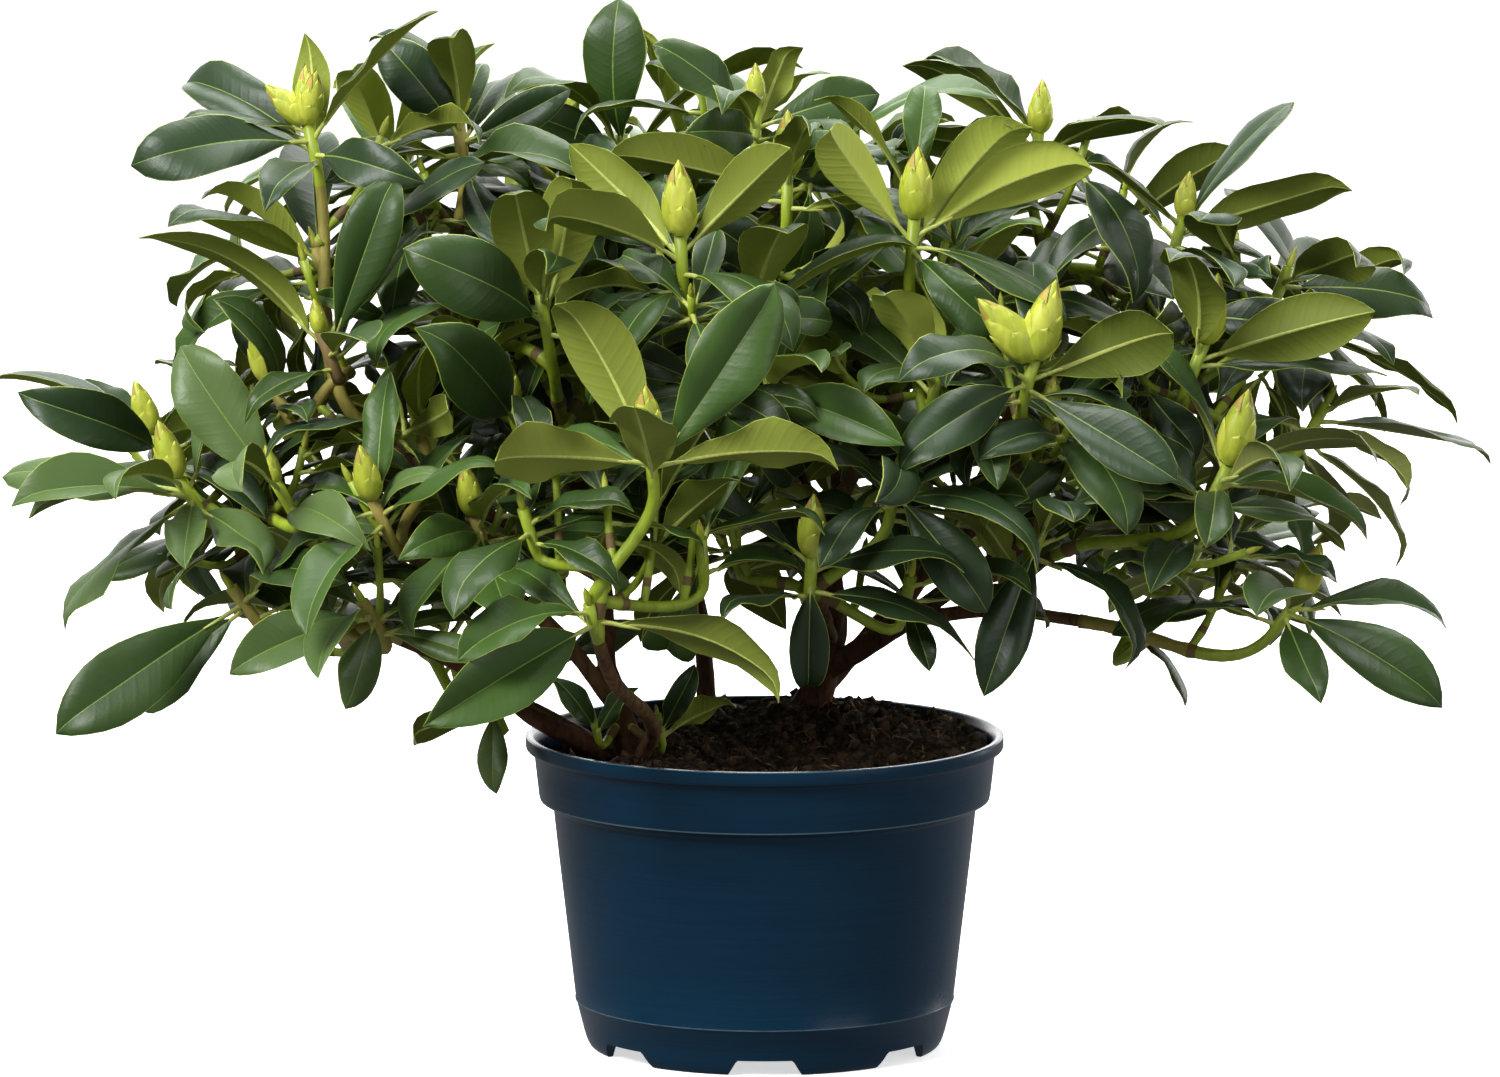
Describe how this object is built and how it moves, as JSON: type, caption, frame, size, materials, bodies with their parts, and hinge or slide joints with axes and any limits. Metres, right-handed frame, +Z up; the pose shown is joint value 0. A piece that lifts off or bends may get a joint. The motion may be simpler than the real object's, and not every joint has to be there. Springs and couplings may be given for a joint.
{
  "type": "potted rhododendron",
  "caption": "Young evergreen rhododendron shrub with whorls of leathery leaves and fat pointed flower buds, standing in a round plastic nursery pot.",
  "frame": {"origin": "middle of the pot's flat underside, on the surface that it stands on", "axes": "+Z up; -Y towards the front, from where both stems and the soil show; +X to the right as seen from the front, along the crown's greatest width"},
  "size_m": [0.8158, 0.5542, 0.573],
  "materials": {
    "plastic": "satin",
    "soil": "matt, crumbly",
    "bark": "rough, fibrous",
    "foliage": "leathery, satin"
  },
  "bodies": {
    "root": {"pot": "plastic", "soil": "soil", "trunk": "bark", "stock": "bark", "back_stem": "bark", "bough_left_low": "bark", "bough_left_skirt": "bark", "bough_front": "bark", "bough_left": "bark", "bough_upright": "bark", "bough_left_tip": "bark", "bough_left_upper": "bark", "bough_upper_left": "bark", "bough_right": "bark", "bough_right_low": "bark", "bough_right_side": "bark", "bough_right_far": "bark", "bough_top_right": "bark", "bough_low_front": "bark", "bough_centre_right": "bark", "bough_centre": "bark", "bough_top": "bark", "bough_back": "bark", "bough_back_right": "bark", "foliage_left_tip": "foliage", "foliage_left_low": "foliage", "foliage_left_skirt": "foliage", "foliage_left_front": "foliage", "foliage_left_upper": "foliage", "foliage_upper_left": "foliage", "foliage_centre_left": "foliage", "foliage_front": "foliage", "foliage_low_front": "foliage", "foliage_top": "foliage", "foliage_centre": "foliage", "foliage_centre_right": "foliage", "foliage_top_right": "foliage", "foliage_right_front": "foliage", "foliage_right_side": "foliage", "foliage_right_far": "foliage", "foliage_right_low": "foliage", "foliage_back_left": "foliage", "foliage_back": "foliage", "foliage_back_right": "foliage"}
  },
  "joints": []
}
